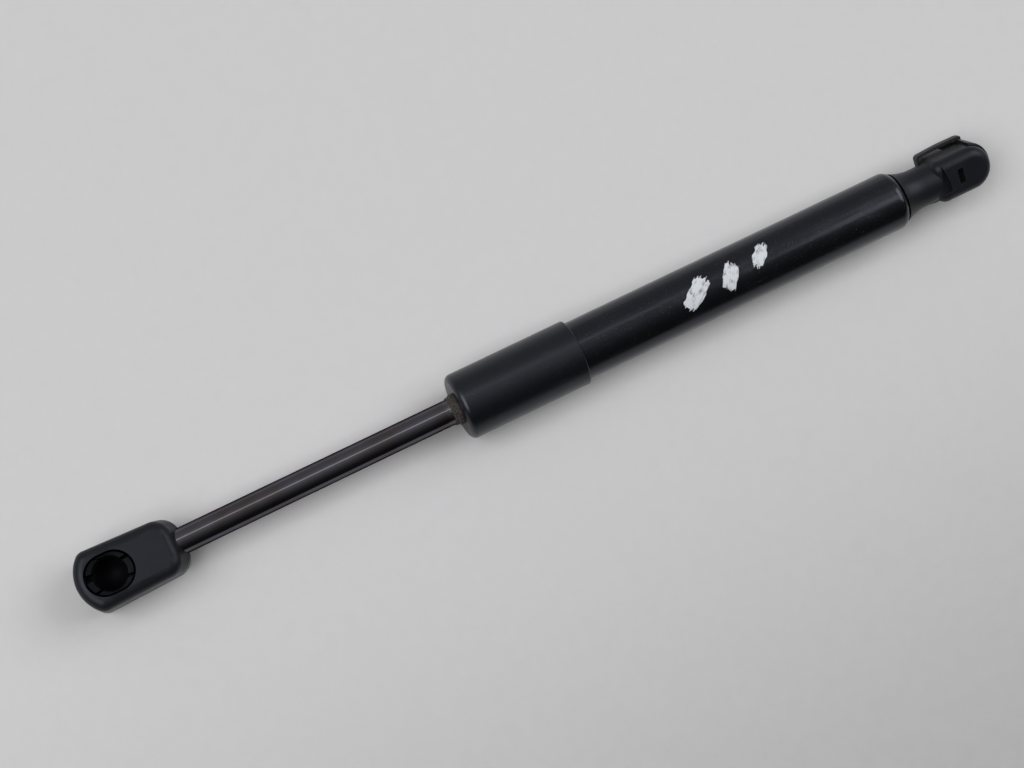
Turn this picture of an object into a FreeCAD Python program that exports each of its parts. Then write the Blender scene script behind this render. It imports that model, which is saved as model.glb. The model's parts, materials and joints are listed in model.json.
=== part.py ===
import FreeCAD, Part
import math
import os
import Sketcher

# Hood gas strut, lying along X and drawn at its full length. The rod end is at -X and the tube end at +X.
# The origin is the centre of the ball that the tube-end socket takes. The rod-end socket opens along +Z.

# Driving sizes, in millimetres and degrees. A diameter is called so. Every other round size is a radius.
SIZES = {
    # Ball studs that the two sockets take
    "ball_diameter": 10.0,
    "ball_clearance": 0.05,
    "throat_squeeze": 0.3,
    "throat_length": 1.5,
    # Fits between pieces
    "seat_clearance": 0.05,
    "running_clearance": 0.05,
    "stop_gap": 0.1,
    # Pressure tube
    "tube_diameter": 18.5,
    "tube_wall": 1.25,
    "tube_length": 150.6,
    "tube_end_rounding": 3.0,
    "tube_end_lip": 4.25,
    "crimp_rounding": 1.8,
    "crimp_gap": 1.6,
    "bead_depth": 0.6,
    "bead_width": 2.4,
    "bead_slope": 0.6,
    # Closed end of the tube
    "plug_length": 6.0,
    "stud_diameter": 8.0,
    "stud_tip_gap": 0.9,
    "stud_foot_gap": 0.3,
    "stud_chamfer": 0.8,
    "o_ring_section": 1.3,
    "o_ring_groove_width": 1.9,
    "plug_groove_start": 1.0,
    # Rod guide and seals
    "guide_length": 8.0,
    "guide_bush_length": 6.5,
    "guide_bush_wall": 0.9,
    "seal_length": 4.0,
    "seal_lip_depth": 1.7,
    "seal_lip_thickness": 0.9,
    "seal_washer_thickness": 1.2,
    "seal_washer_gap": 0.45,
    "wiper_flange_wall": 3.15,
    "wiper_flange_thickness": 0.9,
    "wiper_body_wall": 0.75,
    "wiper_lip_wall": 0.35,
    "wiper_lip_length": 1.1,
    "wiper_reach": 2.4,
    # Dust sleeve
    "sleeve_wall": 1.0,
    "sleeve_length": 39.4,
    "sleeve_end_wall": 1.2,
    "sleeve_rounding": 1.9,
    "sleeve_chamfer": 0.25,
    # Piston rod and piston
    "rod_diameter": 8.0,
    "rod_showing": 85.9,
    "rod_seat_depth": 2.5,
    "rod_thread_diameter": 6.0,
    "rod_thread_length": 10.0,
    "rod_chamfer": 0.5,
    "spigot_diameter": 5.6,
    "rivet_head_rim": 0.9,
    "rivet_head_length": 1.4,
    "bumper_length": 5.0,
    "bumper_gap": 1.4,
    "bumper_rounding": 1.0,
    "piston_washer_thickness": 1.2,
    "piston_washer_gap": 1.0,
    "piston_length": 7.0,
    "piston_gap": 0.3,
    "ring_width": 2.2,
    "ring_wall": 1.5,
    "ring_play": 0.4,
    "ring_split": 0.6,
    "gas_notch_width": 1.6,
    "gas_notch_depth": 0.8,
    "orifice_disc_thickness": 0.6,
    "orifice_radius": 0.6,
    "rivet_washer_thickness": 1.2,
    "rivet_washer_rim": 2.8,
    # Rod-end socket
    "rod_socket_tip_width": 18.7,
    "rod_socket_rod_width": 17.0,
    "rod_socket_reach": 22.4,
    "rod_socket_tip": 10.3,
    "rod_socket_tip_radius": 12.0,
    "rod_socket_top": 6.6,
    "rod_socket_bottom": 7.0,
    "rod_socket_tip_corner": 3.4,
    "rod_socket_rod_corner": 5.6,
    "rod_socket_rod_slope": 3.3,
    "rod_socket_slope_level": 0.5,
    "rod_socket_edge": 3.0,
    "rod_socket_foot_edge": 1.0,
    "cup_floor_wall": 0.6,
    "cup_stretch": 1.35,
    "cup_seat_level": 1.0,
    "cup_top_level": 5.7,
    "claw_wall": 1.05,
    "claw_outer_gap": 0.4,
    "claw_lead_in_flare": 0.5,
    "claw_root_level": 1.5,
    "claw_edge": 0.25,
    "claw_gap_1_angle": 28.0,
    "claw_gap_1_width": 1.1,
    "claw_gap_2_angle": 101.0,
    "claw_gap_2_width": 0.6,
    "claw_gap_3_angle": 168.0,
    "claw_gap_3_width": 2.2,
    "claw_gap_4_angle": 222.0,
    "claw_gap_4_width": 0.9,
    "claw_gap_5_angle": 327.0,
    "claw_gap_5_width": 1.1,
    # Tube-end socket, in its own axes: its mouth faces its own -Z
    "tube_socket_roll": 28.0,
    "tube_socket_reach": 24.6,
    "neck_flare_radius": 8.0,
    "neck_radius": 6.3,
    "neck_flare_length": 7.6,
    "head_length": 13.0,
    "head_half_width": 6.9,
    "head_back": 6.6,
    "head_mouth": 6.5,
    "head_back_edge": 3.3,
    "head_mouth_edge": 0.5,
    "head_shoulder_corner": 2.8,
    "rim_radius": 7.7,
    "rim_start": 2.0,
    "rim_back": 2.9,
    "rim_mouth": 5.9,
    "rim_edge": 0.5,
    "mouth_lead_in_flare": 1.0,
    "relief_slit_width": 1.0,
    "relief_slit_level": 1.4,
    "window_length": 2.1,
    "window_width": 4.8,
    "window_offset": 4.7,
    "window_depth": 2.4,
    "recess_tip": 8.9,
    "recess_root": 12.0,
    "recess_foot": 3.3,
    "recess_apex": 5.6,
    "recess_depth": 1.4,
    # Retaining clip of the tube-end socket
    "clip_thickness": 1.1,
    "clip_height": 2.0,
    "clip_level": 3.2,
    "clip_bow_step": 0.35,
    "clip_leg_end": 3.2,
    "clip_crest": 3.0,
    "clip_crest_gap": 0.8,
    "clip_leg_radius": 110.0,
    "clip_corner": 1.2,
    "clip_slot_clearance": 0.2,
    "leg_slot_start": 4.2,
    "leg_slot_top": 1.0,
    "leg_slot_bottom": 5.4,
    "leg_slot_depth": 0.85,
}

CLAW_GAPS = 5
GAS_NOTCHES = 4

# How near a point must lie to a plane or circle to count as being on it, in millimetres
CLOSE = 0.02

doc = FreeCAD.newDocument("HoodGasStrut")
sheet = doc.addObject("Spreadsheet::Sheet", "Sizes")
for row, (alias, number) in enumerate(SIZES.items(), 1):
    sheet.set(f"A{row}", alias)
    sheet.set(f"B{row}", str(number))
    sheet.setAlias(f"B{row}", alias)
doc.recompute()


class Size:
    """A size with its number now and the expression that ties it to the sheet."""

    def __init__(self, value, text):
        self.value = value
        self.text = text

    def __add__(self, other):
        return combine(self, "+", other)

    def __radd__(self, other):
        return combine(other, "+", self)

    def __sub__(self, other):
        return combine(self, "-", other)

    def __rsub__(self, other):
        return combine(other, "-", self)

    def __mul__(self, other):
        return combine(self, "*", other)

    def __rmul__(self, other):
        return combine(other, "*", self)

    def __truediv__(self, other):
        return combine(self, "/", other)

    def __neg__(self):
        return combine(0, "-", self)


def as_size(value):
    return value if isinstance(value, Size) else Size(float(value), f"({value})")


def combine(left, sign, right):
    left = as_size(left)
    right = as_size(right)
    results = {
        "+": left.value + right.value,
        "-": left.value - right.value,
        "*": left.value * right.value,
    }
    value = left.value / right.value if sign == "/" else results[sign]
    return Size(value, f"({left.text} {sign} {right.text})")


def root(size):
    """The square root of a size."""
    return Size(math.sqrt(size.value), f"sqrt({size.text})")


def size(alias):
    return Size(float(SIZES[alias]), f"Sizes.{alias}")


# Sizes that several pieces share

ball_seat_radius = size("ball_diameter") / 2 + size("ball_clearance")
throat_radius = size("ball_diameter") / 2 - size("throat_squeeze")
throat_start = root(ball_seat_radius * ball_seat_radius - throat_radius * throat_radius)
throat_end = throat_start + size("throat_length")
tube_radius = size("tube_diameter") / 2
bore_radius = tube_radius - size("tube_wall")
fitted_radius = bore_radius - size("seat_clearance")
sliding_radius = bore_radius - size("running_clearance")
groove_radius = bore_radius - size("o_ring_section") - size("seat_clearance")
tube_end_opening = tube_radius - size("tube_end_lip")
piston_radius = bore_radius - size("piston_gap")
piston_washer_radius = bore_radius - size("piston_washer_gap")
rod_radius = size("rod_diameter") / 2
rod_hole_radius = rod_radius + size("running_clearance")
wiper_body_radius = rod_hole_radius + size("wiper_body_wall")
crimp_opening = rod_radius + size("crimp_gap")
thread_radius = size("rod_thread_diameter") / 2
spigot_radius = size("spigot_diameter") / 2
rivet_head_radius = spigot_radius + size("rivet_head_rim")
stud_radius = size("stud_diameter") / 2
guide_bush_outer = rod_hole_radius + size("guide_bush_wall")
ring_inner = sliding_radius - size("ring_wall")
ring_groove_radius = ring_inner - size("seat_clearance")
ring_groove_width = size("ring_width") + size("ring_play")
claw_radius = throat_radius + size("claw_wall")
cup_pocket_radius = claw_radius + size("claw_outer_gap")
cup_floor = -ball_seat_radius - size("cup_floor_wall")
clip_bow_x = -size("head_length") - size("clip_bow_step")
stud_reach = size("tube_socket_reach") + clip_bow_x - size("stud_tip_gap")

# Stations along X, from the tube end to the rod end

tube_end_x = -size("tube_socket_reach")
plug_face_x = tube_end_x - size("tube_wall")
tube_mouth_x = tube_end_x - size("tube_length")
guide_x = tube_mouth_x + size("tube_wall")
seal_x = guide_x + size("guide_length")
seal_washer_x = seal_x + size("seal_length")
bead_x = seal_washer_x + size("seal_washer_thickness")
wiper_flange_x = tube_mouth_x - size("wiper_flange_thickness")
sleeve_x = wiper_flange_x - size("sleeve_end_wall")
wiper_x = sleeve_x - size("wiper_reach")
rod_socket_face_x = wiper_x - size("rod_showing")
rod_ball_x = rod_socket_face_x - size("rod_socket_reach")
bumper_x = bead_x + size("stop_gap")
piston_washer_x = bumper_x + size("bumper_length")
piston_x = piston_washer_x + size("piston_washer_thickness")
orifice_disc_x = piston_x + size("piston_length")
rivet_washer_x = orifice_disc_x + size("orifice_disc_thickness")
rivet_head_x = rivet_washer_x + size("rivet_washer_thickness")


# Tools that the pieces share


def bind(thing, prop, value):
    """Give a property its number and tie it to the sheet."""
    thing.setExpression(prop, as_size(value).text)


def place(thing, x=0, y=0, z=0):
    """Put a sub-part or a feature at a place that follows the sheet."""
    for axis, value in (("x", x), ("y", y), ("z", z)):
        bind(thing, f".Placement.Base.{axis}", value)


def new_body(label):
    body = doc.addObject("PartDesign::Body", label)
    body.Label = label
    return body


def plane_of(body, role):
    return next(item for item in body.Origin.OriginFeatures if item.Role == role)


def new_sketch(body, name, role, lift=0):
    """An empty sketch on one of the body's own planes, lifted off it along the plane's normal."""
    sketch = body.newObject("Sketcher::SketchObject", name)
    sketch.AttachmentSupport = [(plane_of(body, role), "")]
    sketch.MapMode = "FlatFace"
    bind(sketch, ".AttachmentOffset.Base.z", lift)
    return sketch


def draw_outline(sketch, corners, arcs=()):
    """Draw a closed outline through corners. The side that leaves corner i is straight, unless arcs names i
    with its centre and whether it turns left. Sizes from the sheet hold every corner, and how far each centre
    is from its chord."""
    arc_of = {index: (centre, turns_left) for index, centre, turns_left in arcs}
    points = [FreeCAD.Vector(as_size(x).value, as_size(y).value, 0) for x, y in corners]
    count = len(points)
    ends = {}
    for index, start in enumerate(points):
        finish = points[(index + 1) % count]
        if index not in arc_of:
            sketch.addGeometry(Part.LineSegment(start, finish))
            ends[index] = (1, 2)
            continue
        centre, turns_left = arc_of[index]
        middle = FreeCAD.Vector(as_size(centre[0]).value, as_size(centre[1]).value, 0)
        first, last = (start, finish) if turns_left else (finish, start)
        circle = Part.Circle(middle, FreeCAD.Vector(0, 0, 1), (start - middle).Length)
        angles = [math.atan2(point.y - middle.y, point.x - middle.x) for point in (first, last)]
        sketch.addGeometry(Part.ArcOfCircle(circle, *angles))
        ends[index] = (1, 2) if turns_left else (2, 1)
    for index in range(count):
        following = (index + 1) % count
        sketch.addConstraint(
            Sketcher.Constraint("Coincident", index, ends[index][1], following, ends[following][0])
        )
    for index, (x, y) in enumerate(corners):
        hold_point(sketch, index, ends[index][0], x, y)
    for index, (centre, _) in arc_of.items():
        chord = points[(index + 1) % count] - points[index]
        if abs(chord.y) > abs(chord.x):
            hold_distance(sketch, "DistanceX", index, 3, centre[0])
        else:
            hold_distance(sketch, "DistanceY", index, 3, centre[1])


def hold_point(sketch, geometry, vertex, x, y):
    hold_distance(sketch, "DistanceX", geometry, vertex, x)
    hold_distance(sketch, "DistanceY", geometry, vertex, y)


def hold_distance(sketch, kind, geometry, vertex, value):
    """Hold one point of a sketch at a distance from its origin."""
    value = as_size(value)
    index = sketch.addConstraint(Sketcher.Constraint(kind, -1, 1, geometry, vertex, value.value))
    sketch.setExpression(f"Constraints[{index}]", value.text)


def turned(label, station, profile, arcs=()):
    """A piece turned about X: its profile is drawn as distance along X from the station, and radius."""
    body = new_body(label)
    revolve(body, f"{label}_turning", profile, arcs)
    place(body, x=station)
    return body


def revolve(body, name, profile, arcs=()):
    sketch = new_sketch(body, f"{name}_profile", "XY_Plane")
    draw_outline(sketch, profile, arcs)
    revolution = body.newObject("PartDesign::Revolution", name)
    revolution.Profile = sketch
    revolution.ReferenceAxis = (sketch, ["H_Axis"])
    revolution.Angle = 360
    doc.recompute()
    return revolution


def turned_ring(label, station, inner, outer, length):
    """A plain ring or washer."""
    return turned(label, station, [(0, inner), (0, outer), (length, outer), (length, inner)])


def pad(body, name, outline, bottom, height, arcs=()):
    """Raise an outline, drawn from above, from a level by a height."""
    sketch = new_sketch(body, f"{name}_outline", "XY_Plane", lift=bottom)
    draw_outline(sketch, outline, arcs)
    feature = body.newObject("PartDesign::Pad", name)
    feature.Profile = sketch
    bind(feature, "Length", height)
    doc.recompute()
    return feature


def primitive(body, kind, name, x=0, y=0, z=0, axis=(0, 0, 1), turn=0, **sizes):
    """Add or cut a box, cylinder, cone or sphere. Its own Z lies along an axis, turned about the body's Z."""
    feature = body.newObject(f"PartDesign::{kind}", name)
    lean = FreeCAD.Rotation(FreeCAD.Vector(0, 0, 1), FreeCAD.Vector(*axis))
    turning = FreeCAD.Rotation(FreeCAD.Vector(0, 0, 1), as_size(turn).value)
    feature.Placement = FreeCAD.Placement(FreeCAD.Vector(0, 0, 0), turning * lean)
    place(feature, x, y, z)
    for prop, value in sizes.items():
        bind(feature, prop, value)
    if turn:
        bind(feature, ".Placement.Rotation.Angle", turn)
    doc.recompute()
    return feature


def cut_box(body, name, x, y, z):
    """Cut a box given by its low and high limits along each axis."""
    before = body.Shape.Volume
    primitive(
        body, "SubtractiveBox", name, x=x[0], y=y[0], z=z[0],
        Length=x[1] - x[0], Width=y[1] - y[0], Height=z[1] - z[0],
    )
    check_cut(body, name, before)


def upright_oval(body, kind, name, radius, bottom, height):
    """Add or cut an upright oval: two round ends, and a box between them."""
    stretch = size("cup_stretch")
    for end, x in (("tip", -stretch), ("rod", stretch)):
        primitive(body, f"{kind}Cylinder", f"{name}_{end}_end", x=x, z=bottom, Radius=radius, Height=height)
    primitive(
        body, f"{kind}Box", f"{name}_middle", x=-stretch, y=-radius, z=bottom,
        Length=stretch * 2, Width=radius * 2, Height=height,
    )


def check_cut(body, name, volume_before):
    doc.recompute()
    if body.Shape.Volume >= volume_before - 1e-6:
        raise ValueError(f"{name} cut nothing")


def edge_points(edge):
    first, last = edge.ParameterRange
    return [edge.valueAt(first + share * (last - first)) for share in (0, 0.25, 0.5, 0.75, 1)]


def stays_at(edge, axis, value):
    """Whether an edge lies in the plane where one coordinate has a value."""
    return all(abs(getattr(point, axis) - as_size(value).value) < CLOSE for point in edge_points(edge))


def is_round_edge(edge, x, radius):
    """Whether an edge is the circle of a turned piece with this station and radius."""
    goal = as_size(radius).value
    radii = [math.hypot(point.y, point.z) for point in edge_points(edge)]
    return stays_at(edge, "x", x) and all(abs(value - goal) < CLOSE for value in radii)


def soften(body, kind, name, amount, wanted):
    """Round or chamfer those edges of the body so far that are wanted."""
    doc.recompute()
    base = body.Tip
    names = [f"Edge{number}" for number, edge in enumerate(base.Shape.Edges, 1) if wanted(edge)]
    if not names:
        raise ValueError(f"{name} found no edges")
    feature = body.newObject(f"PartDesign::{kind}", name)
    feature.Base = (base, names)
    bind(feature, "Radius" if kind == "Fillet" else "Size", amount)
    doc.recompute()
    if not feature.isValid():
        raise ValueError(f"{name} failed on {len(names)} edges")
    return feature


def rounded(body, name, radius, wanted):
    return soften(body, "Fillet", name, radius, wanted)


def chamfered(body, name, amount, wanted):
    return soften(body, "Chamfer", name, amount, wanted)


# The tube and what is fixed in and on it


def make_pressure_tube():
    """Steel tube, rolled in over the plug and the rod guide, with a rolled bead that holds the seals."""
    mouth = -size("tube_length")
    bead = bead_x - tube_end_x
    bead_end = bead + size("bead_width")
    slope = size("bead_slope")
    depth = size("bead_depth")
    bead_steps = [(bead, 0), (bead + slope, depth), (bead_end - slope, depth), (bead_end, 0)]
    outside = [(x, tube_radius - sunk) for x, sunk in reversed(bead_steps)]
    inside = [(x, bore_radius - sunk) for x, sunk in bead_steps]
    profile = [(0, tube_end_opening), (0, tube_radius)]
    profile += outside
    profile += [(mouth, tube_radius), (mouth, crimp_opening)]
    profile += [(mouth + size("tube_wall"), crimp_opening), (mouth + size("tube_wall"), bore_radius)]
    profile += inside
    profile += [(-size("tube_wall"), bore_radius), (-size("tube_wall"), tube_end_opening)]
    body = turned("pressure_tube", tube_end_x, profile)
    rounded(body, "closed_end", size("tube_end_rounding"), lambda e: is_round_edge(e, 0, tube_radius))
    rounded(
        body, "closed_end_inside", size("tube_end_rounding") - size("tube_wall"),
        lambda e: is_round_edge(e, -size("tube_wall"), bore_radius),
    )
    rounded(body, "rolled_mouth", size("crimp_rounding"), lambda e: is_round_edge(e, mouth, tube_radius))
    return body


def o_ring_groove(start):
    """The three sides of a groove for an O-ring, and the surface after it."""
    finish = start + size("o_ring_groove_width")
    return [(start, fitted_radius), (start, groove_radius), (finish, groove_radius), (finish, fitted_radius)]


def make_o_ring(label, groove_start):
    ring = doc.addObject("Part::Torus", label)
    ring.Label = label
    section = size("o_ring_section") / 2
    bind(ring, "Radius1", groove_radius + section + size("seat_clearance") / 2)
    bind(ring, "Radius2", section)
    ring.Placement.Rotation = FreeCAD.Rotation(FreeCAD.Vector(0, 1, 0), 90)
    place(ring, x=groove_start + size("o_ring_groove_width") / 2)
    return ring


def make_end_plug():
    """Steel plug that closes the tube, with its O-ring."""
    groove_start = size("plug_groove_start")
    station = plug_face_x - size("plug_length")
    profile = [(0, 0), (0, fitted_radius)] + o_ring_groove(groove_start)
    profile += [(size("plug_length"), fitted_radius), (size("plug_length"), 0)]
    plug = turned("end_plug", station, profile)
    rounded(
        plug, "plug_shoulder", size("tube_end_rounding") - size("tube_wall"),
        lambda e: is_round_edge(e, size("plug_length"), fitted_radius),
    )
    return [plug, make_o_ring("plug_o_ring", station + groove_start)]


def make_tube_stud():
    """Threaded stud welded to the plug. The tube-end socket is screwed on to it."""
    reach = size("tube_wall") + stud_reach
    foot = size("tube_wall")
    foot_radius = tube_end_opening - size("stud_foot_gap")
    profile = [(0, 0), (0, foot_radius), (foot, foot_radius), (foot, stud_radius)]
    profile += [(reach, stud_radius), (reach, 0)]
    stud = turned("tube_end_stud", plug_face_x, profile)
    chamfered(stud, "stud_tip", size("stud_chamfer"), lambda e: is_round_edge(e, reach, stud_radius))
    return stud


def make_rod_guide():
    """Guide body with its O-ring, and the bearing bush pressed into it."""
    length = size("guide_length")
    bush_seat = length - size("guide_bush_length")
    bush_hole = guide_bush_outer + size("seat_clearance")
    lip_hole = rod_hole_radius + size("seat_clearance")
    groove_start = (length - size("o_ring_groove_width")) / 2
    profile = [(0, lip_hole), (0, fitted_radius)] + o_ring_groove(groove_start)
    profile += [(length, fitted_radius), (length, bush_hole), (bush_seat, bush_hole), (bush_seat, lip_hole)]
    guide = turned("rod_guide", guide_x, profile)
    bush = turned_ring(
        "guide_bush", guide_x + bush_seat, rod_hole_radius, guide_bush_outer, size("guide_bush_length")
    )
    return [guide, bush, make_o_ring("guide_o_ring", guide_x + groove_start)]


def make_rod_seal():
    """Lip seal on the rod, open towards the gas, and the steel washer behind it."""
    length = size("seal_length")
    lip = size("seal_lip_thickness")
    notch = length - size("seal_lip_depth")
    middle = (rod_hole_radius + fitted_radius) / 2
    profile = [(0, rod_hole_radius), (0, fitted_radius), (length, fitted_radius), (length, fitted_radius - lip)]
    profile += [(notch, middle), (length, rod_hole_radius + lip), (length, rod_hole_radius)]
    seal = turned("rod_seal", seal_x, profile)
    washer = turned_ring(
        "seal_washer", seal_washer_x, rod_radius + size("seal_washer_gap"), fitted_radius,
        size("seal_washer_thickness"),
    )
    return [seal, washer]


def make_rod_wiper():
    """Wiper ring in the mouth of the sleeve: a flange behind the sleeve's end wall, and a two-step nose."""
    lip = size("wiper_lip_length")
    lip_radius = rod_hole_radius + size("wiper_lip_wall")
    flange_radius = rod_hole_radius + size("wiper_flange_wall")
    nose = size("wiper_reach") + size("sleeve_end_wall")
    total = nose + size("wiper_flange_thickness")
    profile = [(0, rod_hole_radius), (0, lip_radius), (lip, lip_radius), (lip, wiper_body_radius)]
    profile += [(nose, wiper_body_radius), (nose, flange_radius), (total, flange_radius)]
    profile += [(total, rod_hole_radius)]
    return turned("rod_wiper", wiper_x, profile)


def make_dust_sleeve():
    """Plastic sleeve over the rod end of the tube."""
    wall = size("sleeve_end_wall")
    length = size("sleeve_length")
    inner = tube_radius + size("seat_clearance")
    outer = inner + size("sleeve_wall")
    hole = wiper_body_radius + size("seat_clearance")
    profile = [(0, hole), (0, outer), (length, outer), (length, inner), (wall, inner), (wall, hole)]
    sleeve = turned("dust_sleeve", sleeve_x, profile)
    rounded(sleeve, "sleeve_nose", size("sleeve_rounding"), lambda e: is_round_edge(e, 0, outer))
    chamfered(sleeve, "sleeve_rim", size("sleeve_chamfer"), lambda e: is_round_edge(e, length, outer))
    return sleeve


# The tube-end socket and its clip, drawn in the socket's own axes and then rolled about the strut


def roll_with_socket(body):
    body.Placement = FreeCAD.Placement(
        FreeCAD.Vector(0, 0, 0), FreeCAD.Rotation(FreeCAD.Vector(1, 0, 0), SIZES["tube_socket_roll"])
    )
    bind(body, ".Placement.Rotation.Angle", size("tube_socket_roll"))
    return body


def make_tube_end_socket():
    """Moulded socket: a flared neck on the stud, and a round-ended head whose mouth is at its own -Z."""
    body = new_body("tube_end_socket")
    reach = size("tube_socket_reach")
    shoulder = -size("head_length")
    half = size("head_half_width")
    back = size("head_back")
    mouth = -size("head_mouth")
    pad(
        body, "head", [(shoulder, -half), (0, -half), (0, half), (shoulder, half)],
        mouth, back - mouth, arcs=[(1, (0, 0), True)],
    )
    rounded(
        body, "shoulder_corners", size("head_shoulder_corner"),
        lambda e: stays_at(e, "x", shoulder) and (stays_at(e, "y", half) or stays_at(e, "y", -half)),
    )
    rounded(body, "back_edges", size("head_back_edge"), lambda e: stays_at(e, "z", back))
    rounded(body, "mouth_edges", size("head_mouth_edge"), lambda e: stays_at(e, "z", mouth))
    add_rim(body)
    add_neck(body, reach, shoulder)
    cut_ball_seat(body, mouth)
    cut_head_details(body, shoulder, half, back, mouth)
    return roll_with_socket(body)


def add_neck(body, reach, shoulder):
    """Neck with a flared foot. It starts inside the head, past the rounding of the head's back."""
    flare_end = size("neck_flare_length") - reach
    rise = size("neck_flare_radius") - size("neck_radius")
    run = size("neck_flare_length")
    sweep = (run * run + rise * rise) / (rise * 2)
    inside = shoulder + size("head_back_edge") * 2
    profile = [(-reach, 0), (-reach, size("neck_flare_radius")), (flare_end, size("neck_radius"))]
    profile += [(inside, size("neck_radius")), (inside, 0)]
    revolve(body, "neck", profile, arcs=[(1, (flare_end, size("neck_radius") + sweep), True)])
    primitive(
        body, "SubtractiveCylinder", "stud_hole", x=-reach, axis=(1, 0, 0),
        Radius=stud_radius + size("seat_clearance"), Height=stud_reach + size("seat_clearance") * 2,
    )


def add_rim(body):
    """Rim around the round end of the head."""
    start = size("rim_start")
    radius = size("rim_radius")
    half = root(radius * radius - start * start)
    pad(
        body, "rim", [(start, -half), (start, half)], -size("rim_mouth"), size("rim_mouth") + size("rim_back"),
        arcs=[(0, (0, 0), True)],
    )
    rounded(
        body, "rim_edges", size("rim_edge"),
        lambda e: (stays_at(e, "z", size("rim_back")) or stays_at(e, "z", -size("rim_mouth")))
        and all(abs(math.hypot(p.x, p.y) - radius.value) < CLOSE for p in edge_points(e)),
    )


def cut_ball_seat(body, mouth):
    """Seat of the ball, with a throat that the ball is pressed through and a lead-in."""
    primitive(body, "SubtractiveSphere", "ball_seat", Radius=ball_seat_radius)
    primitive(body, "SubtractiveCylinder", "throat", z=mouth, Radius=throat_radius, Height=-mouth)
    primitive(
        body, "SubtractiveCone", "lead_in", z=mouth, Radius1=throat_radius + size("mouth_lead_in_flare"),
        Radius2=throat_radius, Height=-throat_end - mouth,
    )


def cut_head_details(body, shoulder, half, back, mouth):
    """Window and recess in the back, relief slit through the lips, and the room for the clip."""
    beyond = size("rim_radius")
    slit = size("relief_slit_width") / 2
    cut_box(body, "relief_slit", (0, beyond), (-slit, slit), (mouth, -size("relief_slit_level")))
    window = -size("window_offset")
    long_side = size("window_length") / 2
    cross_side = size("window_width") / 2
    cut_box(
        body, "back_window", (window - long_side, window + long_side), (-cross_side, cross_side),
        (back - size("window_depth"), back),
    )
    gap = size("clip_slot_clearance")
    cut_box(
        body, "clip_channel", (clip_bow_x - gap, clip_bow_x + size("clip_thickness") + gap), (-beyond, beyond),
        (mouth, gap - size("clip_level")),
    )
    slot_bottom = half - size("leg_slot_depth")
    for name, sides in (("left_leg_slot", (slot_bottom, half)), ("right_leg_slot", (-half, -slot_bottom))):
        cut_box(
            body, name, (-size("leg_slot_start"), size("rim_start")), sides,
            (-size("leg_slot_bottom"), -size("leg_slot_top")),
        )
    cut_recess(body, back)


def cut_recess(body, back):
    """Three-cornered moulding recess in the back, between the neck and the cup."""
    tip = -size("recess_tip")
    base = -size("recess_root")
    apex = (base + tip) / 2
    foot = -size("recess_foot")
    outline = [(base, foot), (tip, foot), (tip, 0), (apex, size("recess_apex"))]
    sketch = new_sketch(body, "recess_outline", "XY_Plane", lift=back)
    draw_outline(sketch, outline)
    before = body.Shape.Volume
    feature = body.newObject("PartDesign::Pocket", "recess")
    feature.Profile = sketch
    bind(feature, "Length", size("recess_depth"))
    check_cut(body, "recess", before)


def make_tube_end_clip():
    """Spring clip: a bow across the neck side of the mouth, and a bowed leg along each side of the head."""
    body = new_body("tube_end_clip")
    thickness = size("clip_thickness")
    bow = clip_bow_x
    end = size("clip_leg_end")
    crest = -size("clip_crest")
    inner = size("clip_leg_radius")
    outer = inner + thickness
    centre = size("head_half_width") + size("clip_crest_gap") - inner

    def leg_side(x, radius):
        return centre + root(radius * radius - (x - crest) * (x - crest))

    corners = [
        (end, leg_side(end, outer)),
        (bow, leg_side(bow, outer)),
        (bow, -leg_side(bow, outer)),
        (end, -leg_side(end, outer)),
        (end, -leg_side(end, inner)),
        (bow + thickness, -leg_side(bow + thickness, inner)),
        (bow + thickness, leg_side(bow + thickness, inner)),
        (end, leg_side(end, inner)),
    ]
    arcs = [
        (0, (crest, centre), True),
        (2, (crest, -centre), True),
        (4, (crest, -centre), False),
        (6, (crest, centre), False),
    ]
    pad(body, "strip", corners, -size("clip_level") - size("clip_height"), size("clip_height"), arcs)
    rounded(
        body, "bow_corners", size("clip_corner"),
        lambda e: stays_at(e, "x", bow) and abs(e.BoundBox.YLength) < CLOSE,
    )
    return roll_with_socket(body)


# The rod and what moves with it


def make_piston_rod():
    """Rod with a thread at the socket, a spigot for the piston and a riveted head."""
    seat = size("rod_thread_length")
    shoulder = seat + (piston_washer_x - rod_socket_face_x) + size("rod_seat_depth")
    head = shoulder + (rivet_head_x - piston_washer_x)
    finish = head + size("rivet_head_length")
    profile = [(0, 0), (0, thread_radius), (seat, thread_radius), (seat, rod_radius), (shoulder, rod_radius)]
    profile += [(shoulder, spigot_radius), (head, spigot_radius), (head, rivet_head_radius)]
    profile += [(finish, rivet_head_radius), (finish, 0)]
    station = rod_socket_face_x - size("rod_seat_depth") - seat
    rod = turned("piston_rod", station, profile)
    chamfered(rod, "thread_tip", size("rod_chamfer"), lambda e: is_round_edge(e, 0, thread_radius))
    rounded(
        rod, "rivet_head", size("rivet_head_length") / 2,
        lambda e: is_round_edge(e, finish, rivet_head_radius),
    )
    return rod


def make_bumper():
    """Rubber stop ring that meets the seal washer when the strut is fully out."""
    length = size("bumper_length")
    outer = bore_radius - size("bumper_gap")
    bumper = turned_ring("stop_bumper", bumper_x, rod_radius + size("seat_clearance"), outer, length)
    rounded(
        bumper, "bumper_edges", size("bumper_rounding"),
        lambda e: is_round_edge(e, 0, outer) or is_round_edge(e, length, outer),
    )
    return bumper


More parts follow.
